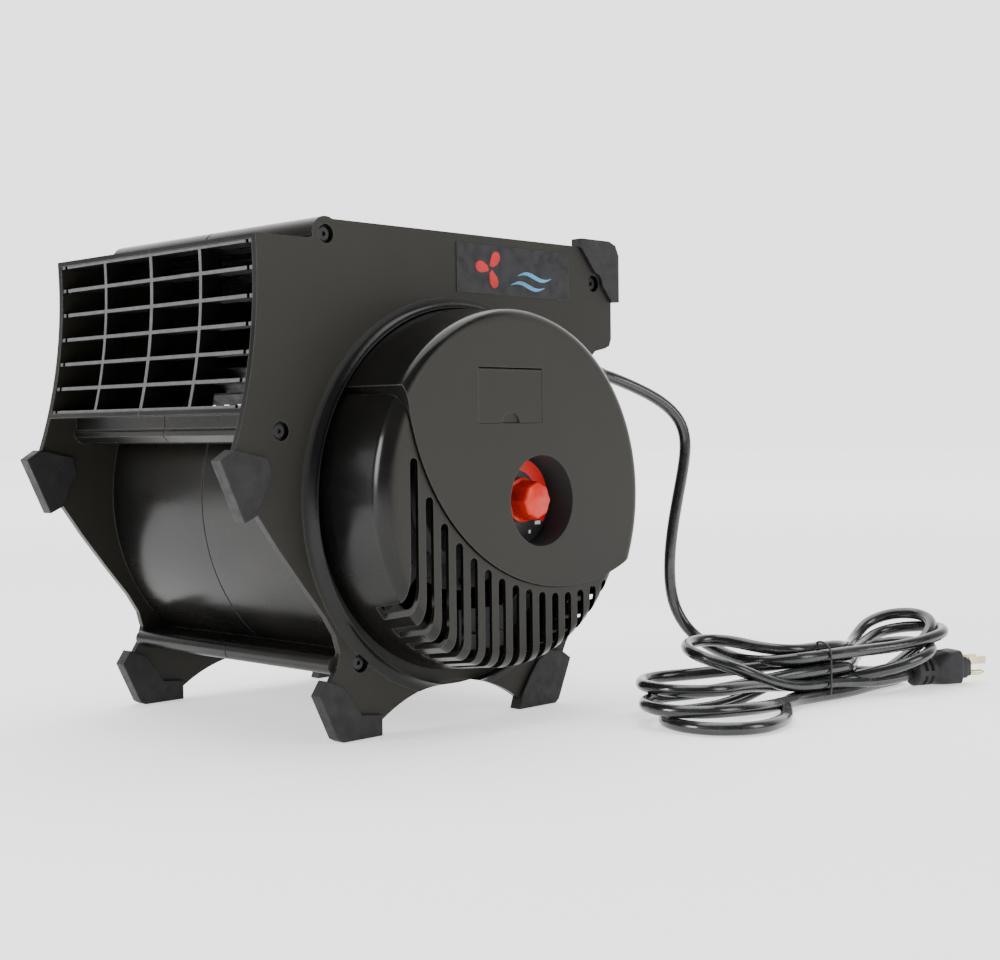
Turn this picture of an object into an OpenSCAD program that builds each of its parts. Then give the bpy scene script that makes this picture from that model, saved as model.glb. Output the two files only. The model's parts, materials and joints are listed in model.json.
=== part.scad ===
// Portable centrifugal air mover: two moulded housing halves joined by cross bolts,
// a barred outlet, rubber corner caps, a louvred motor cover and a power cord.
// Units are millimetres. X runs across the machine, Y runs to the rear, Z is up.

/* [Side plates] */
// Outer face of each side plate, measured from the middle seam
plate_x = 124; // [110:1:140]
// Thickness of each side plate
plate_t = 5; // [3:0.5:8]
// Height of the fan axis above the floor
axis_z = 167; // [150:1:185]
// Radius of the air inlet hole in each side plate
inlet_r = 96; // [80:1:105]

/* [Scroll and duct] */
// Wall thickness of the scroll and the duct
wall = 3.5; // [2:0.5:6]
// Outer radius of the scroll at the front and below
scroll_r = 140; // [125:1:150]
// Height of the underside of the outlet duct
duct_low = 228; // [215:1:240]
// Height of the top of the outlet duct
duct_top = 347; // [335:1:360]
// Radius of the curved front edge of the plates
mouth_r = 360; // [250:5:600]

/* [Outlet bars] */
// Number of air gaps across each half of the outlet
grille_cols = 2; // [1:1:4]
// Number of air gaps from top to bottom
grille_rows = 6; // [3:1:9]
// Depth of the outlet bars
bar_depth = 18; // [10:1:30]
// Thickness of the level bars
bar_t = 2.6; // [1.5:0.1:5]

/* [Motor cover] */
// Position of the flat face of the smooth cover
cover_x = 189; // [170:1:200]
// Radius of the smooth cover at its rim
cover_r = 135; // [120:1:145]
// Radius of the louvred cover at its rim
louvre_r = 127.5; // [110:0.5:135]
// How far the middle of the louvred cover lies above the fan axis
louvre_rise = 5; // [0:1:8]
// Thickness of both covers
cover_t = 3; // [2:0.5:5]
// Number of louvre slots
slot_count = 15; // [5:1:19]
// Distance from one slot to the next
slot_pitch = 13.9; // [10:0.1:18]
// Width of one slot
slot_w = 7.2; // [4:0.2:9]

/* [Knob and dial] */
// Radius of the round recess around the knob
recess_r = 33; // [28:1:40]
// Position of the floor of the recess
recess_x = 165; // [150:1:175]
// Largest radius of the knob
knob_r = 16.5; // [12:0.5:20]

/* [Fan wheel] */
// Outer radius of the fan wheel
wheel_r = 112; // [90:1:125]
// Inner radius of the blade ring
wheel_inner_r = 93; // [75:1:105]
// Number of blades
blade_count = 36; // [24:1:60]

/* [Power cord] */
// Diameter of the cord
cord_d = 9.4; // [7:0.2:12]
// Number of flat sides on the cord
cord_sides = 10; // [8:1:12]

/* [Node] */
// Piece to draw

/* [Hidden] */
$fn = 96;
gap = 0.4;
eps = 0.01;

// The model is drawn about the middle seam and the fan axis, then moved so that
// the centre of its footprint is at the origin.
shift = [-23, 15, 0];

// Colours of the materials
c_shell = [0.17, 0.16, 0.15];
c_cover = [0.22, 0.21, 0.19];
c_rubber = [0.12, 0.12, 0.13];
c_red = [0.85, 0.12, 0.08];
c_steel = [0.62, 0.63, 0.65];
c_zinc = [0.75, 0.76, 0.78];
c_copper = [0.72, 0.42, 0.22];
c_brass = [0.80, 0.66, 0.35];
c_black = [0.05, 0.05, 0.05];
c_grey = [0.45, 0.46, 0.48];

// Inner face of the side plates
inner_x = plate_x - plate_t;
// Places of the four cross bolts in the side view
bolt_at = [[-122, 351], [-163, 216], [-96, 53], [156, 333]];
// Radius of the tube around each cross bolt
boss_r = [12, 8, 8, 8];
bolt_r = 2.5;
head_r = 4.6;
// Circle that the seam between the two covers follows in the side view
seam_at = [50.7, 259.4];
seam_r = 159.5;
seam_z = 246;
// Centre of the knob recess in the side view
knob_at = [23, 164];
// Hatch opening in the side view
hatch_y0 = -41;
hatch_y1 = 24;
hatch_z0 = 220;
hatch_z1 = 259.4;
// Place of the cord gland, and how far back its boss reaches
gland_at = [146, 259];
boss_face = 109.5;
// Hinge line of the hatch door
hinge_x = 187.6;
hinge_z = 257.7;

module place() {
  translate(shift) children();
}

// Turns a side view drawing into a slab from x0 to x1
module slab(x0, x1) {
  translate([x0, 0, 0]) rotate([90, 0, 90]) linear_extrude(x1 - x0) children();
}

// Round bar along X at a point of the side view
module rod(at, x0, x1, r) {
  translate([x0, at[0], at[1]]) rotate([0, 90, 0]) cylinder(h = x1 - x0, r = r);
}

// Spins a drawing of radius against X around the fan axis
module spin() {
  translate([0, 0, axis_z]) rotate([0, 90, 0]) rotate_extrude() children();
}

// ---- Side view drawings ----

// Outline of a side plate, with its three notches left solid
module plate_outline() {
  polygon([[-203, duct_top], [-134, duct_top], [-130, 356], [-122, 361.5], [170, 361.5],
    [175.7, 359.2], [178, 353.5], [178, 289], [175.7, 283.3], [170, 281], [158, 278.5],
    [151, 272], [149.5, 258], [153, 240], [160, 212], [164, 180], [163, 150], [158, 120],
    [147, 90], [132, 64], [119, 46], [114, 36], [103, 7], [-115, 7], [-129, 34],
    [-124, 41], [-117.5, 51], [-114.6, 62], [-118, 74], [-127, 88], [-146, 111],
    [-167, 137.5], [-184, 161], [-191.5, 163], [-207.5, 196.5], [-203, 202.5]]);
  translate(bolt_at[0]) circle(r = boss_r[0]);
}

// Finished side plate outline
module plate_2d() {
  difference() {
    plate_outline();
    translate([-181 - mouth_r, 322]) circle(r = mouth_r);
    translate([-8, -97]) circle(r = 127.6);
  }
}

// Filled scroll and duct shape, shrunk inwards by o
module scroll_2d(o) {
  intersection() {
    translate([0, axis_z]) circle(r = scroll_r - o);
    translate([-150, 20]) square([150, duct_low + o - 20]);
  }
  intersection() {
    translate([0, 172]) circle(r = 145 - o);
    translate([-eps, 20]) square([160, 152 + eps]);
  }
  intersection() {
    translate([-8, 172]) circle(r = 153 - o);
    translate([-33, 172 - eps]) square([190, 170]);
  }
  polygon([[-215, duct_low + o], [-30, duct_low + o], [-30, 180], [0, 172], [0, 300],
    [-32.7, 323 - 1.02 * o], [-118, 337 - 1.02 * o], [-128, duct_top - o],
    [-215, duct_top - o]]);
}

// Cut that gives the duct and its bars the same curved front as the plates
module mouth_cut(back) {
  slab(-130, 130) translate([-181 - mouth_r, 322]) circle(r = mouth_r + back);
}

// ---- Housing halves ----

// Half of the housing on the positive side of the seam, without its holes
module half_shell() {
  slab(inner_x, plate_x) plate_2d();
  difference() {
    union() {
      slab(0.7, inner_x + eps) scroll_2d(0);
      slab(0, 0.71) scroll_2d(0.7);
    }
    slab(-1, inner_x) scroll_2d(wall);
    mouth_cut(0);
  }
  // carrying bar, split at the seam
  rod(bolt_at[0], 0.7, inner_x + eps, boss_r[0]);
  rod(bolt_at[0], 0, 0.71, boss_r[0] - 0.7);
  // tie bar low down at the front
  slab(0.7, inner_x + eps) tie_bar_2d(0);
  slab(0, 0.71) tie_bar_2d(0.7);
  // flat-faced cross strip under the outlet
  slab(0.7, inner_x + eps) outlet_lip_2d(0);
  slab(0, 0.71) outlet_lip_2d(0.7);
  // tubes for the other two bolts
  for (i = [1, 3]) rod(bolt_at[i], 0, inner_x + eps, boss_r[i]);
}

// Strip with a drip lip along its lower edge
module outlet_lip_2d(o) {
  polygon([[-171 + o, 229], [-171 + o, 219], [-169.5, 218.2], [-172.5 + o, 217 - o],
    [-172.5 + o, 213.5 + o], [-168, 209 + o], [-156, 209 + o], [-152, 229]]);
}

module tie_bar_2d(o) {
  translate([-115, 53]) circle(r = 6.5 - o);
  translate([-94, 53]) circle(r = 8 - o);
  polygon([[-115, 46.5 + o], [-94, 45 + o], [-94, 61 - o], [-115, 59.5 - o]]);
}

module bolt_bores() {
  for (p = bolt_at) rod(p, -130, 130, 2.8);
}

module right_housing() color(c_shell) place() {
  difference() {
    union() {
      half_shell();
      // flared collar that the motor cover sits in
      intersection() {
        spin() difference() {
          polygon([[138.4, plate_x - eps], [146.5, plate_x - eps], [146.5, plate_x + 1],
            [138.4, plate_x + 8]]);
          translate([147.2, plate_x + 9.2]) circle(r = 8.4);
        }
        slab(plate_x - 1, plate_x + 10) plate_2d();
      }
    }
    rod([0, axis_z], 100, 140, inlet_r);
    bolt_bores();
    for (p = bolt_at) rod(p, plate_x - 5.5, plate_x + 1, 6.6);
    for (a = [45:90:315])
      rod([105 * cos(a), axis_z + 105 * sin(a)], plate_x - 6, plate_x + 1, 2);
  }
}

module left_housing() color(c_shell) place() {
  difference() {
    mirror([1, 0, 0]) half_shell();
    rod([0, axis_z], -140, -100, inlet_r);
    bolt_bores();
    for (p = bolt_at)
      translate([-plate_x - 1, p[0], p[1]]) rotate([0, 90, 0])
        cylinder(h = 5.6, r = 4.62, $fn = 6);
  }
}

// Level and upright bars that fill half of the outlet
module outlet_bars() {
  low = duct_low + wall;
  high = duct_top - wall;
  step = (high - low) / grille_rows;
  col = inner_x / grille_cols;
  difference() {
    union() {
      for (i = [1:grille_rows - 1])
        slab(0, inner_x) translate([-205, low + i * step - bar_t / 2])
          square([90, bar_t]);
      for (z = [low, high - 2])
        slab(0, inner_x) translate([-205, z]) square([90, 2]);
      for (i = [1:grille_cols - 1])
        slab(i * col - 1.6, i * col + 1.6) translate([-205, low + 1])
          square([90, high - low - 2]);
      slab(0, 1.8) translate([-205, low + 1]) square([90, high - low - 2]);
    }
    mouth_cut(0.8);
    // shallow notch near the plate
    slab(inner_x - 7, inner_x - 4) translate([-181 - mouth_r, 322]) circle(r = mouth_r + 3.5);
    // rear faces of the bars
    difference() {
      slab(-1, inner_x + 1) translate([-215, low - 5]) square([120, high - low + 10]);
      slab(-2, inner_x + 2) translate([-181 - mouth_r, 322]) circle(r = mouth_r + bar_depth);
    }
  }
}

module right_outlet_bars() color(c_shell) place() outlet_bars();
module left_outlet_bars() color(c_shell) place() mirror([1, 0, 0]) outlet_bars();

// ---- Rubber corner caps ----

foot_in = 116.5;
foot_out = 127;

// Cap with the given side view, slipped over a corner of the plate
module foot_cap(shape) {
  difference() {
    slab(foot_in, foot_out) polygon(shape);
    slab(inner_x, plate_x) plate_2d();
    for (i = [0:3]) rod(bolt_at[i], 110, 130, boss_r[i] + 0.3);
  }
}

module foot_pair(shape) color(c_rubber) place() {
  foot_cap(shape);
  mirror([1, 0, 0]) foot_cap(shape);
}

module front_feet() foot_pair([[-215, 197], [-196, 156], [-186, 160.5], [-173, 186],
  [-176, 198], [-204, 204]]);
module lower_front_feet() foot_pair([[-135, 34], [-119.5, 2.5], [-115, 0], [-79, 0],
  [-79, 15], [-98, 17], [-113, 38], [-128, 44]]);
module lower_rear_feet() foot_pair([[62, 0], [103, 0], [107, 3], [121, 34], [110, 41],
  [96, 42], [84, 36], [74, 24], [66, 12]]);
module top_rear_feet() foot_pair([[139, 361], [176, 319], [185, 319], [185, 357],
  [181, 365], [173, 368], [139, 368]]);

// ---- Cross bolts ----

module cross_bolts() color(c_steel) place() {
  for (p = bolt_at) {
    rod(p, -122, 119, bolt_r);
    difference() {
      rod(p, 118.5, 121.5, head_r);
      translate([119.8, p[0], p[1]]) rotate([0, 90, 0]) cylinder(h = 3, r = 1.8, $fn = 6);
    }
  }
}

module bolt_nuts() color(c_zinc) place() {
  for (p = bolt_at) difference() {
    translate([-123.4, p[0], p[1]]) rotate([0, 90, 0]) cylinder(h = 4, r = 4.6, $fn = 6);
    rod(p, -125, -118, bolt_r);
  }
}

// ---- Motor covers ----

// Solid of a cover: base radius r0, rim radius r1, face at xf, rim rounding rc
module cover_solid(r0, r1, xf, rc) {
  spin() {
    polygon([[0, plate_x], [r0, plate_x], [r1, xf - rc], [r1 - rc, xf - rc + eps],
      [r1 - rc, xf], [0, xf]]);
    translate([r1 - rc, xf - rc]) intersection() {
      circle(r = rc);
      square(rc + 1);
    }
  }
}

// Side view region of the smooth cover, shrunk by o
module smooth_region(o) {
  translate(seam_at) circle(r = seam_r - o);
  translate([-150, seam_z + o]) square([300, 100]);
}

// Cup that the knob sits in, and box behind the hatch door
module knob_cup() rod(knob_at, recess_x - 2.5, cover_x, recess_r + 2.5);
module hatch_cup() slab(168, cover_x) translate([hatch_y0 - 2.4, hatch_z0 - 2.4])
  square([hatch_y1 - hatch_y0 + 4.8, hatch_z1 - hatch_z0 + 4.8]);

module smooth_cover() color(c_cover) place() {
  difference() {
    union() {
      intersection() {
        cover_solid(138, cover_r, cover_x, 9);
        slab(plate_x - 1, cover_x + 1) smooth_region(0);
      }
      // flat boss for the cord gland
      translate([gland_at[0], 76, gland_at[1]]) rotate([-90, 0, 0])
        cylinder(h = boss_face - 76, r = 12.5);
    }
    // hollow inside, leaving a narrow closing wall along the seam
    difference() {
      union() {
        intersection() {
          cover_solid(138 - cover_t, cover_r - cover_t, cover_x - cover_t, 6);
          slab(plate_x - 2, cover_x) smooth_region(2.5);
        }
        rod([0, axis_z], plate_x - 1, cover_x - 11, 121);
      }
      knob_cup();
      hatch_cup();
    }
    rod(knob_at, recess_x, cover_x + 1, recess_r);
    rod(knob_at, recess_x - 4, cover_x, 4.8);
    slab(170, cover_x + 1) translate([hatch_y0, hatch_z0])
      square([hatch_y1 - hatch_y0, hatch_z1 - hatch_z0]);
    // small holes that carry the hinge pins of the hatch
    translate([hinge_x, hatch_y0 - 1.6, hinge_z]) rotate([-90, 0, 0])
      cylinder(h = hatch_y1 - hatch_y0 + 3.2, r = 0.85, $fn = 24);
    // hole for the gland, with a wider seat for its collar inside
    translate([gland_at[0], 70, gland_at[1]]) rotate([-90, 0, 0]) {
      cylinder(h = 50, r = 7);
      cylinder(h = 32, r = 9);
    }
  }
}

module louvred_cover() color(c_cover) place() {
  difference() {
    translate([0, 0, louvre_rise]) difference() {
      cover_solid(133.5, louvre_r, cover_x - 2, 13);
      cover_solid(133.5 - cover_t, louvre_r - cover_t, cover_x - 2 - cover_t, 10);
    }
    slab(plate_x - 1, cover_x + 1) smooth_region(-gap);
    // open gap under the straight edge of the smooth cover
    slab(plate_x - 1, cover_x + 1) translate([-150, seam_z - 5.5]) square([44, 6]);
    for (i = [0:slot_count - 1]) {
      y = -101 + slot_pitch * i;
      top = seam_at[1] - sqrt(pow(seam_r + 4.5, 2) - pow(y - seam_at[0], 2));
      slab(151, cover_x + 1) {
        translate([y - slot_w / 2, 10]) square([slot_w, top - slot_w / 2 - 10]);
        translate([y, top - slot_w / 2]) circle(r = slot_w / 2, $fn = 24);
      }
    }
  }
}

// Small door over the pocket in the smooth cover
module hatch_door() color(c_cover) place() {
  y0 = hatch_y0 + gap;
  y1 = hatch_y1 - gap;
  difference() {
    union() {
      slab(hinge_x - 1.3, hinge_x + 1.2) translate([y0, hatch_z0 + gap])
        square([y1 - y0, hinge_z - hatch_z0 - gap]);
      translate([hinge_x, y0, hinge_z]) rotate([-90, 0, 0])
        cylinder(h = y1 - y0, r = 1.3, $fn = 32);
    }
    // thumb scoop at the lower edge
    intersection() {
      slab(hinge_x - 0.1, hinge_x + 3) translate([-8.5, hatch_z0 - 1]) circle(r = 9, $fn = 48);
      slab(hinge_x - 2, hinge_x + 3) translate([-30, hatch_z0 - 5]) square([50, 12.5]);
    }
  }
  for (y = [hatch_y0 - 1.4, y1]) translate([hinge_x, y, hinge_z]) rotate([-90, 0, 0])
    cylinder(h = 1.8, r = 0.8, $fn = 24);
}

// Closed cover with slots on the other side of the machine
module left_intake_cover() color(c_cover) place() {
  difference() {
    mirror([1, 0, 0]) spin() {
      polygon([[0, plate_x], [118, plate_x], [114, 137], [108, 137 + eps], [108, 143], [0, 143]]);
      translate([108, 137]) intersection() {
        circle(r = 6);
        square(7);
      }
    }
    mirror([1, 0, 0]) spin()
      polygon([[0, plate_x - 1], [114.8, plate_x - 1], [111, 137], [108, 139.8], [0, 140]]);
    for (i = [0:12]) {
      y = -82.8 + slot_pitch * i;
      half = sqrt(pow(99, 2) - pow(y, 2)) - slot_w / 2;
      slab(-150, -130) translate([y, axis_z]) {
        translate([-slot_w / 2, -half]) square([slot_w, 2 * half]);
        for (s = [-1, 1]) translate([0, s * half]) circle(r = slot_w / 2, $fn = 24);
      }
    }
  }
}

module badge_plate() color(c_black) place() {
  slab(plate_x, plate_x + 0.5) translate([2, 318]) square([124, 37]);
}

// ---- Knob and switch ----

module dial_plate() color(c_red) place() {
  difference() {
    rod(knob_at, recess_x, recess_x + 0.8, recess_r - 0.6);
    rod(knob_at, recess_x - 1, recess_x + 2, 5);
  }
}

module speed_knob() color(c_red) place() {
  difference() {
    union() {
      rod(knob_at, 167, 169.5, knob_r);
      translate([169.5 - eps, knob_at[0], knob_at[1]]) rotate([0, 90, 0])
        cylinder(h = 15.5, r1 = 14.6, r2 = 13, $fn = 12);
    }
    rod(knob_at, 166, 171, 9.5);
    rod(knob_at, 170, 181, 3);
  }
}

module switch_body() color(c_grey) place() {
  difference() {
    union() {
      slab(146, recess_x - 2.5) translate([knob_at[0] - 15, knob_at[1] - 15]) square(30);
      rod(knob_at, 162, 169.8, 4.8);
    }
    rod(knob_at, 148, 172, 3.06);
  }
}

module switch_shaft() color(c_zinc) place() {
  rod(knob_at, 150, 181, 3);
}

module switch_nut() color(c_zinc) place() {
  difference() {
    translate([recess_x + 0.8, knob_at[0], knob_at[1]]) rotate([0, 90, 0])
      cylinder(h = 2.6, r = 8, $fn = 6);
    rod(knob_at, recess_x, recess_x + 5, 4.8);
  }
}

module switch_terminals() color(c_brass) place() {
  for (y = [-10, 10], z = [-9, 9])
    translate([139, knob_at[0] + y - 0.4, knob_at[1] + z - 3]) cube([7, 0.8, 6]);
}

// ---- Motor ----

module motor_mount() color(c_zinc) place() {
  difference() {
    union() {
      slab(plate_x, plate_x + 2.5) translate([0, axis_z]) {
        difference() {
          circle(r = 116);
          circle(r = 98);
        }
        difference() {
          circle(r = 70);
          circle(r = 57.5);
        }
        for (a = [45:90:315]) rotate(a) translate([66, -9]) square([36, 18]);
      }
    }
    for (a = [45:90:315]) {
      rod([105 * cos(a), axis_z + 105 * sin(a)], plate_x - 1, plate_x + 4, 2);
      rod([63 * cos(a + 45), axis_z + 63 * sin(a + 45)], plate_x - 1, plate_x + 4, 2);
    }
  }
}

module mount_screws() color(c_steel) place() {
  for (a = [45:90:315]) {
    p = [105 * cos(a), axis_z + 105 * sin(a)];
    rod(p, plate_x - 4.5, plate_x + 3, 2);
    rod(p, plate_x + 2.5, plate_x + 5, 4);
  }
}

module motor_front_shell() color(c_grey) place() {
  difference() {
    spin() {
      polygon([[0, 66], [50, 66], [56, 72], [56, 92], [53, 92], [53, 73], [48, 69],
        [18, 69], [18, 82], [0, 82]]);
    }
    rod([0, axis_z], 60, 95, 7.5);
    rod([0, axis_z], 73, 95, 15);
    for (a = [0:60:300]) rod([35 * cos(a), axis_z + 35 * sin(a)], 60, 70.5, 7);
  }
}

module motor_rear_shell() color(c_grey) place() {
  difference() {
    spin() {
      polygon([[0, 138], [48, 138], [54, 132], [54, 129], [67, 129], [67, 126.5], [51, 126.5],
        [51, 131], [46.5, 135.5], [18, 135.5], [18, 128.5], [0, 128.5]]);
    }
    rod([0, axis_z], 120, 136.5, 7.5);
    rod([0, axis_z], 120, 135.5, 15);
    for (a = [0:90:270]) rod([63 * cos(a), axis_z + 63 * sin(a)], 120, 132, 2);
    for (a = [30:60:330]) rod([34 * cos(a), axis_z + 34 * sin(a)], 134, 140, 6);
  }
}

module motor_core() color(c_steel) place() {
  difference() {
    rod([0, axis_z], 92, 126.5, 56);
    rod([0, axis_z], 90, 130, 30.6);
    for (a = [15:30:345]) translate([90, 0, axis_z]) rotate([a, 0, 0])
      translate([0, 33, -2.5]) cube([40, 10, 5]);
  }
}

module motor_windings() color(c_copper) place() {
  for (end = [[82, 92], [126.5, 133]]) difference() {
    rod([0, axis_z], end[0], end[1], 46);
    rod([0, axis_z], end[0] - 1, end[1] + 1, 34);
  }
}

module motor_bearings() color(c_zinc) place() {
  for (end = [[73, 82], [128.5, 135.5]]) difference() {
    rod([0, axis_z], end[0], end[1], 15);
    rod([0, axis_z], end[0] - 1, end[1] + 1, 6.05);
  }
}

module motor_screws() color(c_steel) place() {
  for (a = [0:90:270]) {
    p = [63 * cos(a), axis_z + 63 * sin(a)];
    rod(p, 119, 129, 2);
    rod(p, 129, 131.5, 3.6);
  }
}

module rotor_core() color(c_steel) place() {
  difference() {
    rod([0, axis_z], 92, 126, 30);
    rod([0, axis_z], 91, 127, 6);
  }
}

module motor_shaft() color(c_zinc) place() {
  rod([0, axis_z], -12, 136, 6);
}

// ---- Fan wheel ----

module fan_wheel() color(c_black) place() {
  difference() {
    union() {
      rod([0, axis_z], 12, 15, wheel_r - 0.5);
      rod([0, axis_z], -10, 30, 15);
      for (x = [-99, 96]) difference() {
        rod([0, axis_z], x, x + 3, wheel_r);
        rod([0, axis_z], x - 1, x + 4, wheel_inner_r);
      }
      for (i = [0:blade_count - 1]) translate([0, 0, axis_z])
        rotate([i * 360 / blade_count, 0, 0]) slab(-97, 97)
          polygon([[93.5, -0.7], [100, 0.6], [106, 3.4], [111.3, 8.2], [110.2, 9.2],
            [105.4, 4.8], [99.6, 2.1], [93.5, 0.8]]);
    }
    rod([0, axis_z], -20, 40, 6);
    translate([22, 0, axis_z]) cylinder(h = 20, r = 3);
  }
}

module wheel_set_screw() color(c_steel) place() {
  translate([22, 0, axis_z + 6]) cylinder(h = 8, r = 3);
}

module run_capacitor() color(c_grey) place() {
  translate([plate_x + 2.5, -25, 56]) cube([24, 50, 30]);
  for (y = [-12, 12]) translate([plate_x + 26.5, y - 3, 68]) cube([7, 6, 0.8]);
}

// ---- Cord ----

module cord_gland() color(c_black) place() {
  translate([gland_at[0], boss_face, gland_at[1]]) rotate([-90, 0, 0]) {
    translate([0, 0, -11.5]) cylinder(h = 4, r = 9);
    translate([0, 0, -8]) cylinder(h = 8.5, r = 7);
    cylinder(h = 4, r = 10.5);
    translate([0, 0, 3.5]) cylinder(h = 27, r1 = 8, r2 = 5.4);
  }
}

// Guide points of the hanging stretch, from the gland down to the hank
hang = [[146, 140, 259], [147, 150, 257], [152, 164, 251.5], [159, 183, 244], [166, 199, 234.5],
  [171.5, 208.5, 223], [174, 212, 210], [174, 212, 196], [172.5, 207.5, 175], [171, 203, 156],
  [169, 198, 131], [168, 195.5, 107], [168, 196, 86], [170, 199, 70], [175, 205, 56],
  [184, 209, 45.5], [200, 209, 39], [220, 203, 35.5]];
// Guide points of the short stretch from the hank to the plug
tail = [[286, 262, 14], [293, 285, 11], [296, 310, 9.5], [296, 332, 9.5], [297, 352, 10.6]];

function sub_len(v) = sqrt(v[0] * v[0] + v[1] * v[1] + v[2] * v[2]);
function unit(v) = v / sub_len(v);
function curve(p, i, t) =
  let (a = p[max(i - 1, 0)], b = p[i], c = p[i + 1], d = p[min(i + 2, len(p) - 1)])
  0.5 * (2 * b + (c - a) * t + (2 * a - 5 * b + 4 * c - d) * t * t
    + (3 * b - a - 3 * c + d) * t * t * t);
function way(p) = [for (i = [0:len(p) - 2]) for (t = [0, 0.5]) curve(p, i, t), p[len(p) - 1]];
function heading(w, i) = unit(w[min(i + 1, len(w) - 1)] - w[max(i - 1, 0)]);
function across(h) = unit(cross(h, [0.5, -0.6, 0.62]));
function ring(c, h, r) =
  let (u = across(h), v = cross(h, u))
  [for (k = [0:cord_sides - 1]) c + r * (cos(360 * k / cord_sides) * u
    + sin(360 * k / cord_sides) * v)];

// Closed tube swept along the guide points
module tube(points, r) {
  w = way(points);
  n = len(w);
  m = cord_sides;
  rings = [for (i = [0:n - 1]) for (q = ring(w[i], heading(w, i), r)) q];
  faces = concat(
    [[for (k = [0:m - 1]) k]],
    [for (i = [0:n - 2]) for (k = [0:m - 1])
      [i * m + k, (i + 1) * m + k, (i + 1) * m + (k + 1) % m, i * m + (k + 1) % m]],
    [[for (k = [m - 1:-1:0]) (n - 1) * m + k]]);
  polyhedron(points = rings, faces = faces, convexity = 6);
}

module power_cord() color(c_black) place() {
  tube(hang, cord_d / 2);
  tube(tail, cord_d / 2);
}

// Middle of the tie, and the way the hank runs through it, in degrees from the Y axis
tie_at = [280, 245];
hank_turn = -9;
// Half width and height of the bound part
waist_r = 11;
waist_h = 46.4;

// Bound part of the hank: a flat bar with rounded top and bottom
module waist(length, grow) {
  translate([tie_at[0], tie_at[1], 0]) rotate([0, 0, hank_turn]) hull()
    for (z = [waist_r + 1.6, waist_h - waist_r])
      translate([0, -length / 2, z]) rotate([-90, 0, 0]) cylinder(h = length, r = waist_r + grow);
}

// Flat disc at a height, the outer shape of one end loop
module loop_disc(centre, r, low, high) {
  translate([centre[0], centre[1], low]) cylinder(h = high - low, r = r, $fn = 48);
}

// Outer shape of the coiled length: wide loops to the front, narrow ones to the rear
module cord_hank() color(c_black) place() {
  linear_extrude(29) hull() {
    translate([277, 219]) circle(r = 11);
    translate([238, 128]) circle(r = 45);
    translate([283, 106]) circle(r = 49);
  }
  linear_extrude(53) hull() {
    translate([277, 219]) circle(r = 11);
    translate([240, 170]) circle(r = 34);
    translate([224, 204]) circle(r = 8);
  }
  waist(44, 0);
  // raised rear loops, clear above the plug
  hull() {
    loop_disc([284, 272], 11, 0, waist_h);
    loop_disc([290, 338], 34, 30, 40);
    loop_disc([284, 366], 34, 41, 51);
    loop_disc([274, 364], 34, 52, 62);
  }
  // rear loop on the floor
  hull() {
    loop_disc([280, 272], 11, 0, 20);
    loop_disc([254, 345], 34, 0, 10);
  }
}

module cord_tie() color(c_black) place() {
  difference() {
    waist(4, 1.5);
    waist(6, 0);
  }
}

// ---- Plug ----

// End of the cord in the plug, and the way the plug points, in degrees from the X axis
plug_at = [297, 352, 13.6];
plug_turn = 66;

module plug_frame() {
  translate(plug_at) rotate([0, 0, plug_turn]) rotate([0, 90, 0]) children();
}

module plug_body() color(c_black) place() {
  difference() {
    plug_frame() {
      translate([3, 0, 0]) cylinder(h = 20, r1 = 6.2, r2 = 8.5);
      translate([1, 0, 19.5]) cylinder(h = 10, r1 = 9.5, r2 = 12.4);
      translate([0, 0, 29]) cylinder(h = 24, r = 13.2);
    }
    plug_frame() translate([-16, -20, 25]) cube([4.5, 40, 40]);
  }
}

module plug_blades() color(c_brass) place() {
  plug_frame() for (s = [-1, 1]) translate([-8.5, s * 6.35 - 0.75, 53]) cube([6.3, 1.5, 17]);
}

module plug_ground_pin() color(c_brass) place() {
  plug_frame() translate([6, 0, 53]) {
    cylinder(h = 17, r = 2.4, $fn = 32);
    translate([0, 0, 17]) cylinder(h = 3, r1 = 2.4, r2 = 1.2, $fn = 32);
  }
}

// ---- Nodes ----

right_housing();
left_housing();
right_outlet_bars();
left_outlet_bars();
front_feet();
lower_front_feet();
lower_rear_feet();
top_rear_feet();
cross_bolts();
bolt_nuts();
smooth_cover();
louvred_cover();
hatch_door();
dial_plate();
speed_knob();
switch_body();
switch_shaft();
switch_nut();
switch_terminals();
left_intake_cover();
badge_plate();
motor_mount();
mount_screws();
motor_front_shell();
motor_rear_shell();
motor_core();
motor_windings();
motor_bearings();
motor_screws();
rotor_core();
motor_shaft();
fan_wheel();
wheel_set_screw();
run_capacitor();
cord_gland();
power_cord();
cord_hank();
cord_tie();
plug_body();
plug_blades();
plug_ground_pin();
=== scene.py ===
import json
import math

import bmesh
import bpy
from mathutils import Matrix, Vector


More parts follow.
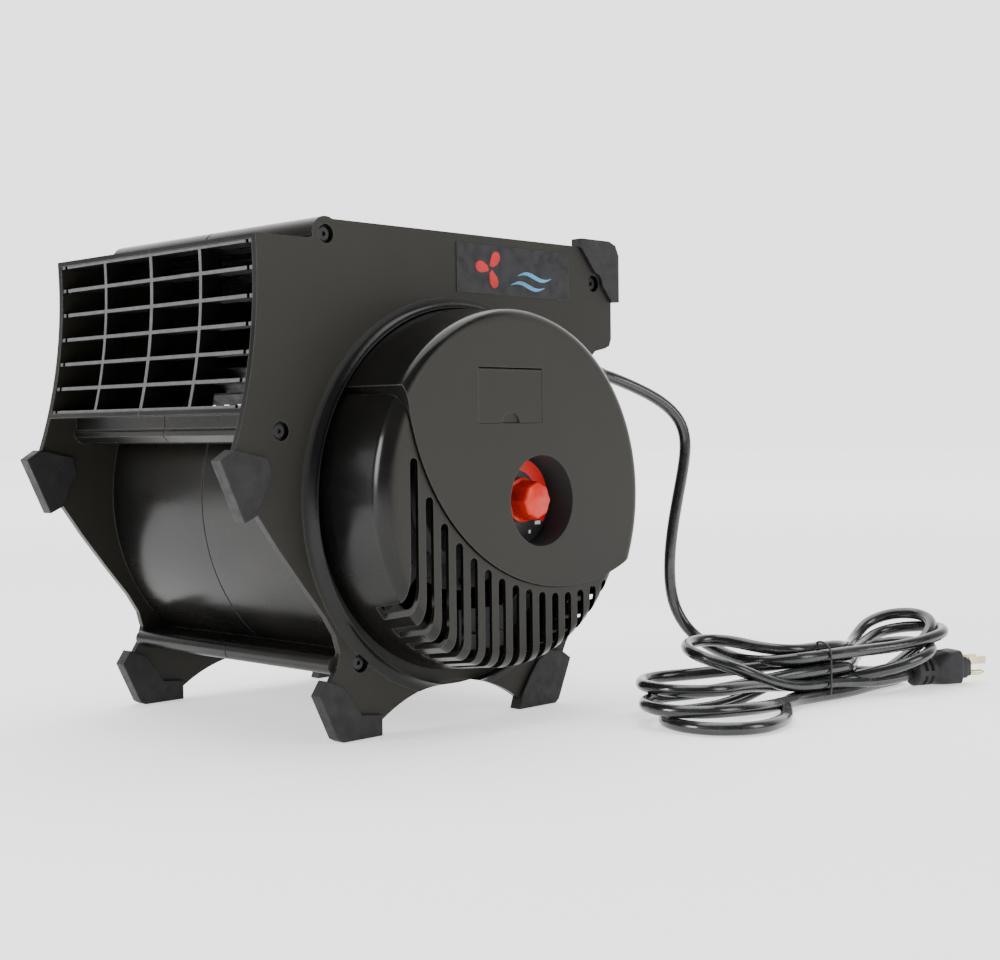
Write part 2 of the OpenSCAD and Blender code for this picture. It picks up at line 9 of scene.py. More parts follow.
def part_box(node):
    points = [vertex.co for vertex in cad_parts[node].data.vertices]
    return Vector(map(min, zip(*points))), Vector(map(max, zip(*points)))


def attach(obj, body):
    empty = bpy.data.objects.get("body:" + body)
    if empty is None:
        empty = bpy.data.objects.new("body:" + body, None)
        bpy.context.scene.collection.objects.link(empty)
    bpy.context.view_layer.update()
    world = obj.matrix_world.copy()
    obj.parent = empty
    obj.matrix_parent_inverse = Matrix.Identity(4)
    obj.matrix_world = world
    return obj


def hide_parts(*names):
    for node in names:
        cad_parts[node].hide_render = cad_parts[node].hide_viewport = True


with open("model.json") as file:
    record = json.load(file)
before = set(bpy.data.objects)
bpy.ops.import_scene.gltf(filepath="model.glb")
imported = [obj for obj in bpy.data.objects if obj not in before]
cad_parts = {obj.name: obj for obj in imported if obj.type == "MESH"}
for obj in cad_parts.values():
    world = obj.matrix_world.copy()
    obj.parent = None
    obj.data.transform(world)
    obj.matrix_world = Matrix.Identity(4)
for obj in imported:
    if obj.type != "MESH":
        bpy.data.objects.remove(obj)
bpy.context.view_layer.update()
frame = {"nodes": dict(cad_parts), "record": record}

MM = 0.001
# The CAD draws the machine about its middle seam and its fan axis, then shifts it by this
SHIFT = Vector((-23, 15, 0))
# Axes that run across the machine, as Y and Z in millimetres before the shift
KNOB_YZ = (23, 164)
FAN_YZ = (0, 167)
# Just past the wall of the knob recess, in metres
RECESS_R = 0.0331
# Outer face of the side plate, and how far out its collar reaches, in millimetres
PLATE_FACE = 124.2
COLLAR_TOP = 134
CORD_R = 4.7 * MM


def at(x, y, z):
    """A point given in millimetres before the shift, in metres in the row frame."""
    return (Vector((x, y, z)) + SHIFT) * MM


# ---- Camera ----


def make_camera():
    """Camera at the photograph's place and angle."""
    data = bpy.data.cameras.new("camera")
    data.lens = 57.81
    data.sensor_width = 36
    data.clip_start = 0.02
    data.clip_end = 60
    camera = bpy.data.objects.new("camera", data)
    right = Vector((0.7162, 0.6978, -0.0112)).normalized()
    forward = Vector((-0.6978, 0.7157, -0.0291)).normalized()
    up = right.cross(forward).normalized()
    right = forward.cross(up).normalized()
    turn = Matrix((right, up, -forward)).transposed().to_4x4()
    camera.matrix_world = Matrix.Translation((0.9547, -0.8147, 0.2130)) @ turn
    bpy.context.scene.collection.objects.link(camera)
    bpy.context.scene.camera = camera


make_camera()

# ---- Material helpers ----


class Nodes:
    """Short calls for building one node tree."""

    def __init__(self, name):
        self.material = bpy.data.materials.new(name)
        self.material.use_nodes = True
        self.tree = self.material.node_tree
        self.shader = self.tree.nodes["Principled BSDF"]

    def add(self, kind, **values):
        node = self.tree.nodes.new(kind)
        for key, value in values.items():
            setattr(node, key, value)
        return node

    def link(self, source, target):
        self.tree.links.new(source, target)

    def fill(self, socket, value):
        """Sets a socket to a value, or links it to another node's output."""
        if isinstance(value, bpy.types.NodeSocket):
            self.link(value, socket)
        else:
            socket.default_value = value

    def math(self, operation, a, b=0.0):
        node = self.add("ShaderNodeMath", operation=operation)
        self.fill(node.inputs[0], a)
        self.fill(node.inputs[1], b)
        return node.outputs[0]

    def ramp(self, value, low, high, out_low=0.0, out_high=1.0):
        node = self.add("ShaderNodeMapRange", interpolation_type="SMOOTHSTEP")
        self.fill(node.inputs["Value"], value)
        node.inputs["From Min"].default_value = low
        node.inputs["From Max"].default_value = high
        node.inputs["To Min"].default_value = out_low
        node.inputs["To Max"].default_value = out_high
        return node.outputs["Result"]

    def place(self):
        return self.add("ShaderNodeTexCoord").outputs["Object"]

    def noise(self, scale, detail=3.0, stretch=(1, 1, 1)):
        mapping = self.add("ShaderNodeMapping")
        self.link(self.place(), mapping.inputs["Vector"])
        mapping.inputs["Scale"].default_value = stretch
        node = self.add("ShaderNodeTexNoise")
        self.link(mapping.outputs["Vector"], node.inputs["Vector"])
        node.inputs["Scale"].default_value = scale
        node.inputs["Detail"].default_value = detail
        node.inputs["Roughness"].default_value = 0.5
        return node.outputs["Fac"]

    def mix(self, factor, a, b):
        node = self.add("ShaderNodeMix", data_type="RGBA")
        self.fill(node.inputs["Factor"], factor)
        self.fill(node.inputs["A"], (*a, 1) if isinstance(a, tuple) else a)
        self.fill(node.inputs["B"], (*b, 1) if isinstance(b, tuple) else b)
        return node.outputs["Result"]

    def blend(self, factor, a, b):
        node = self.add("ShaderNodeMix", data_type="FLOAT")
        self.fill(node.inputs["Factor"], factor)
        self.fill(node.inputs["A"], a)
        self.fill(node.inputs["B"], b)
        return node.outputs["Result"]

    def bump(self, height, distance, normal=None, strength=1.0):
        node = self.add("ShaderNodeBump")
        self.fill(node.inputs["Strength"], strength)
        node.inputs["Distance"].default_value = distance
        self.link(height, node.inputs["Height"])
        if normal is not None:
            self.link(normal, node.inputs["Normal"])
        return node.outputs["Normal"]

    def soft_edges(self, radius):
        """Normals that round the edges off, with a radius in metres."""
        node = self.add("ShaderNodeBevel", samples=4)
        node.inputs["Radius"].default_value = radius
        return node.outputs["Normal"]

    def edge_mask(self, soft):
        """About 1 on an edge and 0 on a face."""
        true_normal = self.add("ShaderNodeNewGeometry").outputs["Normal"]
        dot = self.add("ShaderNodeVectorMath", operation="DOT_PRODUCT")
        self.link(soft, dot.inputs[0])
        self.link(true_normal, dot.inputs[1])
        return self.ramp(dot.outputs["Value"], 0.99, 0.9)

    def finish(self, color, rough, normal=None, **inputs):
        base = (*color, 1) if isinstance(color, tuple) else color
        self.fill(self.shader.inputs["Base Color"], base)
        self.fill(self.shader.inputs["Roughness"], rough)
        if normal is not None:
            self.link(normal, self.shader.inputs["Normal"])
        for key, value in inputs.items():
            self.fill(self.shader.inputs[key.replace("_", " ")], value)
        return self.material


def round_axis(n, axis_yz):
    """X, and the offsets along Y and Z and the distance from an axis across the machine."""
    parts = n.add("ShaderNodeSeparateXYZ")
    n.link(n.place(), parts.inputs[0])
    centre = at(0, *axis_yz)
    across = n.math("SUBTRACT", parts.outputs["Y"], centre.y)
    rise = n.math("SUBTRACT", parts.outputs["Z"], centre.z)
    radius = n.math("SQRT", n.math("ADD", n.math("MULTIPLY", across, across),
                                   n.math("MULTIPLY", rise, rise)))
    return parts.outputs["X"], across, rise, radius


def side_mask(n):
    """1 on faces that look along X, such as the side plates and the flat of the motor cover."""
    normal = n.add("ShaderNodeNewGeometry").outputs["Normal"]
    parts = n.add("ShaderNodeSeparateXYZ")
    n.link(normal, parts.inputs[0])
    return n.ramp(n.math("ABSOLUTE", parts.outputs["X"]), 0.8, 0.97)


def knob_well(n):
    """1 round the knob axis, out to the wall of the knob recess."""
    x, _, _, radius = round_axis(n, KNOB_YZ)
    right_side = n.math("GREATER_THAN", x, 0.12)
    return n.math("MULTIPLY", n.math("LESS_THAN", radius, RECESS_R), right_side)


def collar_shade_mask(n):
    """1 on the flared collar round the motor cover, and on the foot of the cover, where painted
    shade goes.
    """
    x, _, _, radius = round_axis(n, FAN_YZ)
    proud = n.math("MULTIPLY", n.math("GREATER_THAN", x, at(PLATE_FACE, 0, 0).x),
                   n.math("LESS_THAN", x, at(COLLAR_TOP, 0, 0).x))
    return n.math("MULTIPLY", n.ramp(radius, 0.1475, 0.1440), proud)


def moulded(name, flat_color, round_color, flat_rough, round_rough):
    """Black plastic: fine grain on the side faces, polished skin on the round ones."""
    n = Nodes(name)
    side = side_mask(n)
    soft = n.soft_edges(0.0009)
    edge = n.edge_mask(soft)
    cloud = n.noise(9, 3)
    smear = n.noise(22, 4, (0.35, 1, 1))
    grain = n.noise(2600, 2)
    color = n.mix(side, round_color, flat_color)
    color = n.mix(n.ramp(cloud, 0.35, 0.7, 0.0, 0.3), color, (0.024, 0.021, 0.015))
    # painted highlight: the edges are lifted to pale grey
    color = n.mix(n.math("MULTIPLY", edge, 0.5), color, (0.12, 0.12, 0.115))
    rough = n.blend(side, n.ramp(smear, 0.3, 0.75, round_rough, round_rough + 0.16), flat_rough)
    rough = n.math("ADD", rough, n.math("MULTIPLY", edge, 0.12))
    # painted shade: the collar and the foot of the cover are darkened to near black, as a soft
    # shadow round the cover
    color = n.mix(n.math("MULTIPLY", collar_shade_mask(n), 0.8), color, (0.005, 0.005, 0.005))
    # painted tint: the recess is given a cool colour that cancels the red light the knob throws on
    # it
    well = knob_well(n)
    color = n.mix(well, color, (0.018, 0.028, 0.029))
    rough = n.blend(well, rough, 0.55)
    orange_peel = n.noise(160, 2)
    normal = n.bump(orange_peel, 0.00005, soft, 0.5)
    normal = n.bump(grain, 0.00008, normal, n.math("MULTIPLY", side, 0.55))
    return n.finish(color, rough, normal, Specular_IOR_Level=0.28)


def outlet_bars(name):
    """Black bars with painted grey light on the faces that look forward, in patches, and painted
    shade, near black, further in.
    """
    n = Nodes(name)
    parts = n.add("ShaderNodeSeparateXYZ")
    n.link(n.add("ShaderNodeNewGeometry").outputs["Normal"], parts.inputs[0])
    front = n.ramp(n.math("MULTIPLY", parts.outputs["Y"], -1.0), 0.6, 0.9)
    light_patches = n.ramp(n.noise(180, 4), 0.3, 0.75, 0.7, 1.0)
    # painted light on the faces that look forward, and painted shade, near black, on the rest
    color = n.mix(n.math("MULTIPLY", front, light_patches), (0.003, 0.003, 0.0035), (0.10, 0.101, 0.104))
    normal = n.bump(n.noise(1200, 2), 0.00006, n.soft_edges(0.0006), 0.5)
    return n.finish(color, 0.5, normal, Specular_IOR_Level=0.25)


def rubber(name, color, dust_and_highlight):
    """Matt rubber, paler where dust sits, and with a painted highlight that makes its edges paler.
    """
    n = Nodes(name)
    soft = n.soft_edges(0.0016)
    edge = n.edge_mask(soft)
    dust = n.ramp(n.noise(60, 5), 0.45, 0.75, 0.0, 0.4)
    mixed = n.mix(dust, color, dust_and_highlight)
    # painted highlight: the edges are lifted to the paler colour
    mixed = n.mix(n.math("MULTIPLY", edge, 0.7), mixed, dust_and_highlight)
    normal = n.bump(n.noise(900, 4), 0.00012, soft, 0.6)
    rough = n.ramp(n.noise(140, 3), 0.3, 0.7, 0.5, 0.68)
    return n.finish(mixed, rough, normal, Specular_IOR_Level=0.3)


def metal(name, color, rough, scratch=(1, 30, 30)):
    """Brushed metal, with its scratches along one direction."""
    n = Nodes(name)
    brushed = n.noise(260, 3, scratch)
    tint = n.mix(n.ramp(n.noise(90, 3), 0.3, 0.8), color, tuple(c * 0.72 for c in color))
    normal = n.bump(brushed, 0.00003, n.soft_edges(0.0003), 0.6)
    return n.finish(tint, n.ramp(brushed, 0.3, 0.7, rough, rough + 0.15), normal, Metallic=1.0)


def plain_plastic(name, color, low, high, grain=900, coat=0.0):
    """Lightly mottled plastic, with its roughness between low and high."""
    n = Nodes(name)
    tint = n.mix(n.ramp(n.noise(40, 4), 0.35, 0.75), color, tuple(c * 0.7 for c in color))
    normal = n.bump(n.noise(grain, 3), 0.00005, n.soft_edges(0.0005), 0.5)
    return n.finish(tint, n.ramp(n.noise(120, 3), 0.3, 0.7, low, high), normal, Coat_Weight=coat)


def vinyl(name):
    """Gloss black cord jacket with faint rub marks."""
    n = Nodes(name)
    rub = n.ramp(n.noise(70, 5), 0.4, 0.8)
    color = n.mix(rub, (0.010, 0.011, 0.011), (0.028, 0.03, 0.03))
    normal = n.bump(n.noise(240, 3), 0.00012, None, 0.5)
    rough = n.ramp(n.noise(110, 4), 0.3, 0.75, 0.16, 0.32)
    return n.finish(color, rough, normal, Coat_Weight=0.25, Coat_Roughness=0.12)


def red_plastic(name):
    """Glossy red plastic that lets a little light in."""
    n = Nodes(name)
    swirl = n.ramp(n.noise(55, 3), 0.3, 0.75)
    color = n.mix(swirl, (0.72, 0.028, 0.010), (0.58, 0.016, 0.007))
    normal = n.bump(n.noise(500, 2), 0.00003, n.soft_edges(0.0006), 0.5)
    return n.finish(color, n.ramp(n.noise(200, 2), 0.3, 0.7, 0.22, 0.32), normal,
                    Subsurface_Weight=0.2, Subsurface_Scale=0.004,
                    Specular_IOR_Level=0.3)


def dial_face(name):
    """Black dial with a red crescent over the top and right."""
    n = Nodes(name)
    _, across, rise, radius = round_axis(n, KNOB_YZ)
    angle = n.math("ARCTAN2", rise, across)
    # the crescent grows narrower from the rear round to the front
    inner = n.ramp(angle, math.radians(-20), math.radians(150), 0.0175, 0.0235)
    band = n.math("MULTIPLY", n.math("GREATER_THAN", radius, inner),
                  n.math("LESS_THAN", radius, 0.0305))
    arc = n.math("MULTIPLY", n.math("GREATER_THAN", angle, math.radians(-35)),
                 n.math("LESS_THAN", angle, math.radians(150)))
    red = n.math("MULTIPLY", band, arc)
    color = n.mix(red, (0.012, 0.012, 0.013), (0.72, 0.018, 0.016))
    normal = n.bump(n.noise(900, 2), 0.00003, None, 0.5)
    return n.finish(color, n.ramp(n.noise(150, 3), 0.3, 0.7, 0.3, 0.45), normal)


MATERIALS = {
    "shell": moulded("shell_plastic", (0.0155, 0.0142, 0.0100), (0.0045, 0.0045, 0.0045),
                     0.50, 0.20),
    "cover": moulded("cover_plastic", (0.0165, 0.0152, 0.0115), (0.004, 0.004, 0.004), 0.44, 0.15),
    "bars": outlet_bars("outlet_bar_plastic"),
    "bolt": metal("bolt_black", (0.05, 0.05, 0.052), 0.34),
    "rubber": rubber("foot_rubber", (0.015, 0.015, 0.0155), (0.036, 0.036, 0.038)),
    "steel": metal("black_steel", (0.30, 0.30, 0.31), 0.32),
    "zinc": metal("zinc_plate", (0.62, 0.63, 0.66), 0.30),
    "brass": metal("plug_brass", (0.80, 0.66, 0.42), 0.22),
    "copper": metal("copper_wire", (0.62, 0.28, 0.13), 0.30, (60, 1, 1)),
    "motor_shell": plain_plastic("motor_paint", (0.030, 0.031, 0.033), 0.35, 0.5, 700),
    "switch": plain_plastic("switch_plastic", (0.10, 0.10, 0.11), 0.4, 0.55),
    "wheel": plain_plastic("wheel_plastic", (0.014, 0.014, 0.014), 0.45, 0.6),
    "badge": plain_plastic("badge_film", (0.010, 0.010, 0.012), 0.30, 0.4, 500, 0.1),
    "dial": dial_face("dial_print"),
    "knob": red_plastic("knob_red"),
    "cord": vinyl("cord_vinyl"),
    "plug": rubber("plug_rubber", (0.022, 0.022, 0.024), (0.05, 0.05, 0.053)),
    "tie": plain_plastic("tie_plastic", (0.025, 0.022, 0.032), 0.3, 0.45),
    "red_print": plain_plastic("red_ink", (0.62, 0.010, 0.012), 0.30, 0.42, 500),
    "blue_print": plain_plastic("blue_ink", (0.10, 0.36, 0.62), 0.30, 0.42, 500),
    "white_print": plain_plastic("white_ink", (0.75, 0.75, 0.74), 0.30, 0.42, 500),
}
slot_of = {s["node"]: s["material_slot"] for s in frame["record"]["subparts"]}
# The motor mount, core, capacitor and their screws get dark looks, as painted shade for the inside
# of the housing.
NODE_LOOKS = {"right_outlet_bars": "bars", "left_outlet_bars": "bars", "cross_bolts": "bolt",
              "motor_mount": "motor_shell", "mount_screws": "bolt", "motor_screws": "bolt",
              "motor_core": "motor_shell", "run_capacitor": "motor_shell"}

# ---- Mesh helpers ----


def new_piece(name, mesh, body, look):
    """Adds a mesh as a piece that rides on a body."""
    piece = bpy.data.objects.new(name, mesh)
    bpy.context.scene.collection.objects.link(piece)
    piece.data.materials.append(MATERIALS[look])
    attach(piece, body)
    return piece


def loft(name, rings, closed_ends=True):
    """A mesh skin over rings of points, each ring the same number of points."""
    mesh = bpy.data.meshes.new(name)
    count = len(rings[0])
    points = [p for ring in rings for p in ring]
    faces = []
    for i in range(len(rings) - 1):
        for k in range(count):
            a, b = i * count + k, i * count + (k + 1) % count
            faces.append((a, b, b + count, a + count))
    if closed_ends:
        faces.append(tuple(reversed(range(count))))
        faces.append(tuple(range((len(rings) - 1) * count, len(rings) * count)))
    mesh.from_pydata(points, [], faces)
    bm = bmesh.new()
    bm.from_mesh(mesh)
    bmesh.ops.recalc_face_normals(bm, faces=bm.faces)
    bm.to_mesh(mesh)
    bm.free()
    mesh.shade_smooth()
    mesh.set_sharp_from_angle(angle=math.radians(35))
    return mesh


def curve_through(points, steps):
    """Points of a smooth curve through the given points."""
    line = []
    last = len(points) - 1
    for i in range(last):
        a, b = points[max(i - 1, 0)], points[i]
        c, d = points[i + 1], points[min(i + 2, last)]
        for k in range(steps):
            t = k / steps
            line.append(0.5 * (2 * b + (c - a) * t + (2 * a - 5 * b + 4 * c - d) * t * t
                               + (3 * b - a - 3 * c + d) * t ** 3))
    line.append(points[last])
    return line


# ---- Power cord ----

# Hanging stretch and the short stretch to the plug, as in the CAD
HANG = [(146, 140, 259), (147, 150, 257), (152, 164, 251.5), (159, 183, 244), (166, 199, 234.5),
        (171.5, 208.5, 223), (174, 212, 210), (174, 212, 196), (172.5, 207.5, 175), (171, 203, 156),
        (169, 198, 131), (168, 195.5, 107), (168, 196, 86), (170, 199, 70), (175, 205, 56),
        (184, 209, 45.5), (200, 209, 39), (220, 203, 35.5)]
TAIL = [(286, 262, 14), (293, 285, 11), (296, 310, 9.5), (296, 332, 9.5), (297, 352, 10.6)]
# Middle of the tie, direction of the bundle there, and the direction across it
TIE = Vector((280, 245, 0))
AXIS = Vector((math.sin(math.radians(9)), math.cos(math.radians(9)), 0))
NEAR = Vector((AXIS.y, -AXIS.x, 0))
# Half the length over which the passes lie straight in the tie
STRAIGHT = 14
# Where each pass lies in the tie: side of the middle and height
PASS_OUT = [(4.9, 36.5), (-4.9, 14.3), (4.9, 5.2), (-4.9, 5.2)]
PASS_BACK = [(-4.9, 32.2), (4.9, 25.5), (-4.9, 23.2), (-4.9, 41.2)]
PASS_PLUG = (4.9, 14.7)
# End loops: centre, radius, turn at the start and end, and heights at start, middle (pull) and end
REAR_LOOPS = [((284, 366), 31, -12, 192, 42, 51, 36), ((290, 338), 30, -10, 196, 29, 42, 27),
              ((254, 345), 31, -10, 178, 5, 5, 5), ((274, 364), 31, -12, 192, 38, 72, 40)]
FRONT_LOOPS = [((240, 129), 37, 150, 370, 24, 24, 23), ((264, 103), 37, 150, 345, 14.6, 14.6, 14),
               ((285, 107), 41.5, 150, 375, 5, 5, 5), ((242, 171), 30, 92, 350, 45.5, 57, 28.5)]


def through_tie(slot, shift=0.0):
    """Point of a pass in the tie, or the given distance along the bundle from it."""
    return TIE + NEAR * slot[0] + AXIS * shift + Vector((0, 0, slot[1]))


def end_loop(loop):
    """Points round an end loop, anticlockwise seen from above, at 24 points a turn."""
    (x, y), radius, start, end, low, mid, high = loop
    count = math.ceil((end - start) / 15)
    points = []
    for i in range(count + 1):
        t = i / count
        a = math.radians(start + (end - start) * t)
        z = low * (1 - t) ** 2 + 2 * mid * t * (1 - t) + high * t * t
        points.append(Vector((x + radius * math.cos(a), y + radius * math.sin(a), z)))
    return points


def reach(start, start_way, end, end_way, pull=0.36):
    """Points of a smooth stretch between two places with given headings, without its ends."""
    span = (end - start).length * pull
    b, c = start + start_way * span, end - end_way * span
    points = []
    for i in range(1, 10):
        t = i / 10
        points.append(start * (1 - t) ** 3 + b * 3 * t * (1 - t) ** 2 + c * 3 * t * t * (1 - t)
                      + end * t ** 3)
    return points


def heading(a, b):
    """Direction from one point to another."""
    return (b - a).normalized()


def evened(points, passes):
    """Rounds small corners off, keeping both ends."""
    for _ in range(passes):
        points = ([points[0]] + [(a + b * 2 + c) / 4 for a, b, c in
                                 zip(points, points[1:], points[2:])] + [points[-1]])
    return points


def cord_route():
    """Guide points of the whole cord, in millimetres before the shift."""
    route = [Vector(p) for p in HANG]
    for i in range(4):
        rear, front = end_loop(REAR_LOOPS[i]), end_loop(FRONT_LOOPS[i])
        begin = through_tie(PASS_OUT[i], -STRAIGHT)
        leave = through_tie(PASS_OUT[i], STRAIGHT)
        if i == 0:
            route += reach(route[-1], heading(route[-2], route[-1]), begin, AXIS, 0.45)
        route += [begin, leave]
        route += reach(leave, AXIS, rear[0], heading(rear[0], rear[1]))
        back = through_tie(PASS_BACK[i], STRAIGHT)
        away = through_tie(PASS_BACK[i], -STRAIGHT)
        route += rear + reach(rear[-1], heading(rear[-2], rear[-1]), back, -AXIS)
        route += [back, away]
        route += reach(away, -AXIS, front[0], heading(front[0], front[1]), 0.38)
        after = through_tie(PASS_OUT[i + 1] if i < 3 else PASS_PLUG, -STRAIGHT)
        route += front + reach(front[-1], heading(front[-2], front[-1]), after, AXIS)
    plug_pass = through_tie(PASS_PLUG, -STRAIGHT)
    tail = [Vector(p) for p in TAIL]
    return route + [plug_pass] + tail


def make_cord():
    """The whole cord as one round tube, and its length."""
    line = [at(*p) for p in evened(curve_through(cord_route(), 3), 12)]
    curve = bpy.data.curves.new("power_cord_jacket", "CURVE")
    curve.dimensions = "3D"
    curve.bevel_depth = CORD_R
    curve.bevel_resolution = 5
    curve.use_fill_caps = True
    spline = curve.splines.new("POLY")
    spline.points.add(len(line) - 1)
    for point, place in zip(spline.points, line):
        point.co = (*place, 1)
    spline.use_smooth = True
    cord = bpy.data.objects.new("power_cord_jacket", curve)
    bpy.context.scene.collection.objects.link(cord)
    curve.materials.append(MATERIALS["cord"])
    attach(cord, "housing")
    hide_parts("power_cord", "cord_hank")
    length = sum((b - a).length for a, b in zip(line, line[1:]))
    return cord, length


cord, cord_length = make_cord()


def make_tie():
    """Thin tie round the bundle, as a closed band."""
    half, top, bottom = 10.4, 46.6, 0.9
    ring = []
    for i in range(48):
        a = 2 * math.pi * i / 48
        middle = top - half if math.sin(a) > 0 else bottom + half
        ring.append(TIE + NEAR * (half * math.cos(a)) + Vector((0, 0, middle + half * math.sin(a))))
    sides = 8
    rings = []
    for p in ring:
        inward = (p - (TIE + Vector((0, 0, min(max(p.z, bottom + half), top - half))))).normalized()
        rings.append([at(*(p + inward * 0.75 * math.cos(2 * math.pi * k / sides)
                           + AXIS * 0.9 * math.sin(2 * math.pi * k / sides)))
                      for k in range(sides)])
    mesh = loft("cord_tie_band", rings + [rings[0]], False)
    band = new_piece("cord_tie_band", mesh, "housing", "tie")
    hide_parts("cord_tie")
    return band


tie = make_tie()


def make_plug():
    """Moulded plug: ribbed round tail, flared grip and a stepped face."""
    turn = math.radians(66)
    along = Vector((math.cos(turn), math.sin(turn), 0))
    across = Vector((-math.sin(turn), math.cos(turn), 0))
    up = Vector((0, 0, 1))
    start = at(*TAIL[-1][:2], 0)
    # along the plug, half width, half height, height of its middle, squareness, in millimetres
    sections = [(0, 8.5, 8.5, 11.6, 2.0), (0.7, 10.2, 10.2, 11.6, 2.0),
                (2, 11.2, 11.2, 11.7, 2.0), (20, 11.0, 11.2, 11.8, 2.0),
                (23, 11.6, 12.2, 12.6, 2.6), (31, 12.4, 13.6, 14.2, 5.0),
                (42.5, 13.0, 14.0, 14.6, 6.0), (43.2, 12.6, 12.8, 14.4, 6.0),
                (43.6, 11.6, 9.4, 14.0, 6.0), (49, 11.2, 9.0, 13.8, 6.0),
                (49.4, 10.4, 7.6, 13.4, 6.0), (53, 10.0, 7.2, 13.4, 6.0)]
    count = 72
    step = 0.5
    rings = []
    for i in range(int(sections[-1][0] / step) + 1):
        s = i * step
        upper = next(j for j, row in enumerate(sections) if row[0] >= s)
        lower = max(upper - 1, 0)
        a, b = sections[lower], sections[upper]
        t = 0 if a[0] == b[0] else (s - a[0]) / (b[0] - a[0])
        wide, tall, middle, square = (a[j] + (b[j] - a[j]) * t for j in range(1, 5))
        ring = []
        for k in range(count):
            angle = 2 * math.pi * k / count
            c, q = math.cos(angle), math.sin(angle)
            x = math.copysign(abs(c) ** (2 / square), c) * wide
            z = math.copysign(abs(q) ** (2 / square), q) * tall
            slotted = (7 <= s <= 9.5 or 13 <= s <= 15.5) and abs(c) > 0.35
            depth = 0.82 if slotted and abs(q) > 0.25 else 1.0
            ring.append(start + along * s * MM + across * x * depth * MM
                        + up * (middle + z * depth) * MM)
        rings.append(ring)
    mesh = loft("plug_shell", rings)
    plug = new_piece("plug_shell", mesh, "housing", "plug")
    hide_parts("plug_body")
    return plug


plug = make_plug()

# ---- CAD nodes ----


def dress_nodes():
    """Every CAD node gets its material, and smooth shading away from its edges."""
    for name, node in frame["nodes"].items():
        mesh = node.data
        mesh.materials.clear()
        mesh.materials.append(MATERIALS[NODE_LOOKS.get(name, slot_of[name])])
        mesh.shade_smooth()
        mesh.set_sharp_from_angle(angle=math.radians(28))


dress_nodes()

# ---- Speed knob ----


def make_knob():
    """Eight-sided knob with a round skirt and a chamfered cap."""
    low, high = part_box("speed_knob")
    back, front = low.x, high.x
    centre = at(0, *KNOB_YZ)
    sides = 96
    flats = 8
    # share of the depth, radius in millimetres, how flat the sides are
    rows = [(0.0, 15.2, 0), (0.02, 16.2, 0), (0.10, 16.5, 0), (0.15, 16.2, 0), (0.17, 15.2, 0.6),
            (0.20, 14.9, 1), (0.5, 14.5, 1), (0.90, 13.9, 1), (0.95, 13.6, 1), (0.985, 12.8, 1),
            (1.0, 12.3, 1)]
    rings = []
    for share, radius, flat in rows:
        ring = []
        for k in range(sides):
            a = 2 * math.pi * k / sides
            turn = (a % (2 * math.pi / flats)) - math.pi / flats
            inset = 1 - math.cos(math.pi / flats) / math.cos(turn)
            r = radius * (1 - flat * inset) * MM
            ring.append(Vector((back + (front - back) * share, centre.y + r * math.cos(a),
                                centre.z + r * math.sin(a))))
        rings.append(ring)
    knob = new_piece("speed_knob_grip", loft("speed_knob_grip", rings), "knob", "knob")
    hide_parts("speed_knob")
    return knob


make_knob()


def flat_patch(name, outline, x, thickness, body, look):
    """A thin raised print: an outline in the side view, in metres, drawn at x."""
    back = [Vector((x, y, z)) for y, z in outline]
    front = [Vector((x + thickness, y, z)) for y, z in outline]
    mesh = bpy.data.meshes.new(name)
    count = len(outline)
    faces = [tuple(range(count)), tuple(reversed(range(count, 2 * count)))]
    faces += [(i, (i + 1) % count, count + (i + 1) % count, count + i) for i in range(count)]
    mesh.from_pydata(back + front, [], faces)
    bm = bmesh.new()
    bm.from_mesh(mesh)
    bmesh.ops.recalc_face_normals(bm, faces=bm.faces)
    bmesh.ops.triangulate(bm, faces=[f for f in bm.faces if len(f.verts) > 4])
    bm.to_mesh(mesh)
    bm.free()
    return new_piece(name, mesh, body, look)


def make_dial_marks():
    """Small white blocks round the dial."""
    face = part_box("dial_plate")[1].x
    centre = at(0, *KNOB_YZ)
    for i, turn in enumerate((-42, -66)):
        a = math.radians(turn)
        y, z = centre.y + 0.0262 * math.cos(a), centre.z + 0.0262 * math.sin(a)
        half = 0.0030 - 0.0018 * i
        outline = [(y - half, z - 0.0013), (y + half, z - 0.0013),
                   (y + half, z + 0.0013), (y - half, z + 0.0013)]
        flat_patch(f"dial_mark_{i}", outline, face, 0.00012, "housing", "white_print")


make_dial_marks()

# ---- Badge ----


def make_badge():
    """Generic print: a red three-blade rotor and two pale blue breeze lines."""
    low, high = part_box("badge_plate")
    face = high.x
    height = high.z - low.z
    hub_y, hub_z = low.y + height * 0.95, low.z + height * 0.52
    for blade in range(3):
        outline = []
        for i in range(15):
            t = i / 14
            a = math.radians(120 * blade + 20 + 78 * t)
            r = height * (0.10 + 0.32 * math.sin(math.pi * min(1, t * 1.15)) ** 0.6)
            outline.append((hub_y + r * math.cos(a), hub_z + r * math.sin(a)))
        outline.append((hub_y + height * 0.05 * math.cos(a), hub_z + height * 0.05 * math.sin(a)))
        flat_patch(f"badge_blade_{blade}", outline, face, 0.00012, "housing", "red_print")
    for line in range(2):
        base = low.z + height * (0.22 + 0.20 * line)
        begin = low.y + height * (1.55 + 0.2 * line)
        top, bottom = [], []
        for i in range(25):
            t = i / 24
            y = begin + height * 1.05 * t
            z = base + height * 0.06 * math.sin(2 * math.pi * t)
            half = height * 0.045 * math.sin(math.pi * t) + 0.0001
            top.append((y, z + half))
            bottom.append((y, z - half))
        outline = top + bottom[::-1]
        flat_patch(f"badge_breeze_{line}", outline, face, 0.00012, "housing", "blue_print")


make_badge()

# ---- Floor and light ----


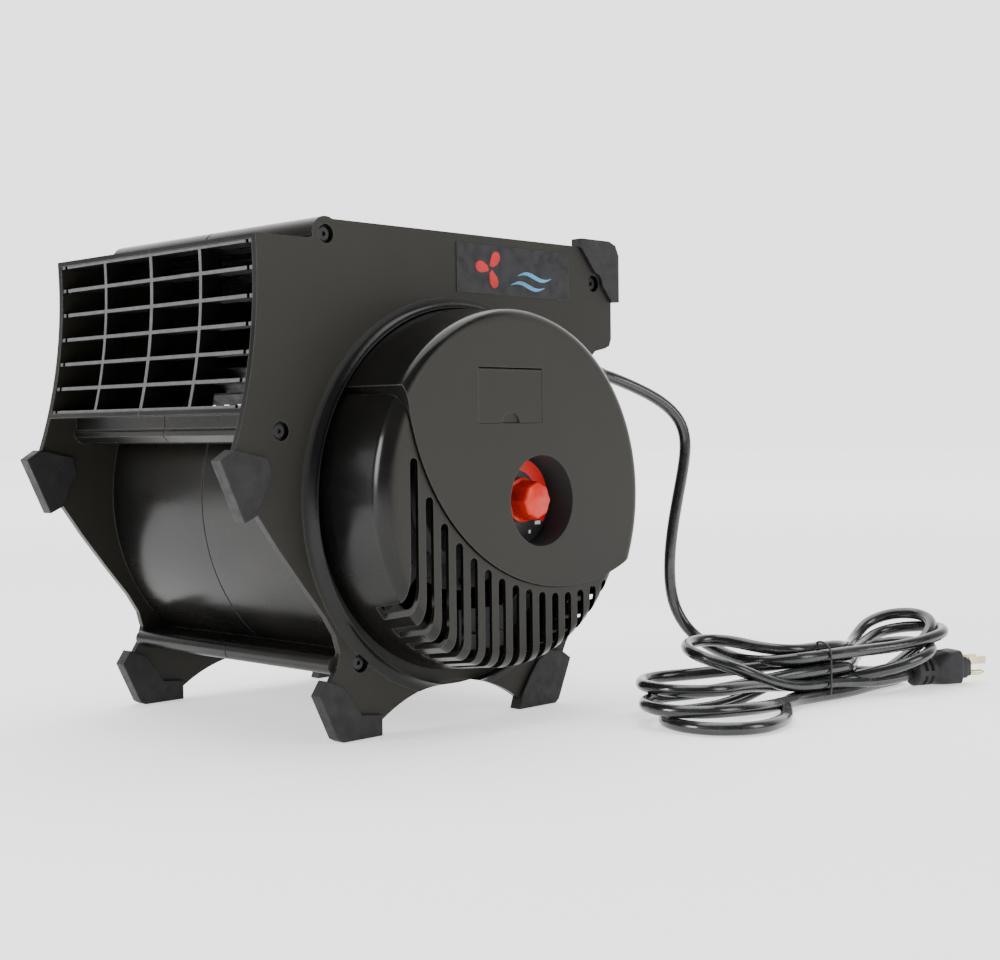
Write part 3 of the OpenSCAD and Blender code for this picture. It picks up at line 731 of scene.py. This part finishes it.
def make_floor():
    """Wide pale floor that glows brighter far away, like a lit backdrop."""
    mesh = bpy.data.meshes.new("floor")
    size = 14
    mesh.from_pydata([(-size, -size, 0), (size, -size, 0), (size, size, 0), (-size, size, 0)],
                     [], [(0, 1, 2, 3)])
    floor = bpy.data.objects.new("floor", mesh)
    floor.location.z = -0.0004
    bpy.context.scene.collection.objects.link(floor)
    n = Nodes("floor_paint")
    shade = n.mix(n.noise(3, 2), (0.95, 0.95, 0.95), (0.93, 0.93, 0.93))
    far = n.add("ShaderNodeVectorMath", operation="LENGTH")
    n.link(n.place(), far.inputs[0])
    glow = n.ramp(far.outputs["Value"], 0.6, 4.0, 0.85, 1.9)
    mesh.materials.append(n.finish(shade, 0.9, Specular_IOR_Level=0.0, Emission_Color=(1, 1, 1, 1),
                                   Emission_Strength=glow))


def make_world():
    """White backdrop beyond the machine, dim room on the side the light stands lie."""
    world = bpy.data.worlds.new("studio")
    bpy.context.scene.world = world
    world.use_nodes = True
    nodes, links = world.node_tree.nodes, world.node_tree.links
    background = nodes["Background"]
    place = nodes.new("ShaderNodeTexCoord").outputs["Generated"]
    dot = nodes.new("ShaderNodeVectorMath")
    dot.operation = "DOT_PRODUCT"
    links.new(place, dot.inputs[0])
    dot.inputs[1].default_value = (-0.70, 0.71, 0.0)
    spread = nodes.new("ShaderNodeMapRange")
    spread.interpolation_type = "SMOOTHSTEP"
    links.new(dot.outputs["Value"], spread.inputs["Value"])
    spread.inputs["From Min"].default_value = 0.05
    spread.inputs["From Max"].default_value = 0.8
    spread.inputs["To Min"].default_value = 0.25
    spread.inputs["To Max"].default_value = 2.5
    links.new(spread.outputs["Result"], background.inputs["Strength"])
    background.inputs["Color"].default_value = (1.0, 1.0, 1.0, 1)


def area_light(name, place, target, wide, tall, power):
    """Soft rectangular light, with its sizes in metres and its power in watts."""
    data = bpy.data.lights.new(name, "AREA")
    data.shape = "RECTANGLE"
    data.size, data.size_y = wide, tall
    data.energy = power
    lamp = bpy.data.objects.new(name, data)
    lamp.location = place
    aim = Vector(target) - Vector(place)
    lamp.rotation_euler = aim.to_track_quat("-Z", "Y").to_euler()
    bpy.context.scene.collection.objects.link(lamp)


make_floor()
make_world()
area_light("key", (-0.7, -2.5, 0.95), (0, 0, 0.2), 0.9, 1.1, 62)
area_light("side", (2.5, 0.9, 1.2), (0, 0, 0.2), 1.0, 1.4, 26)
area_light("top", (-0.3, 0.2, 2.6), (0, 0, 0.2), 2.4, 2.4, 70)
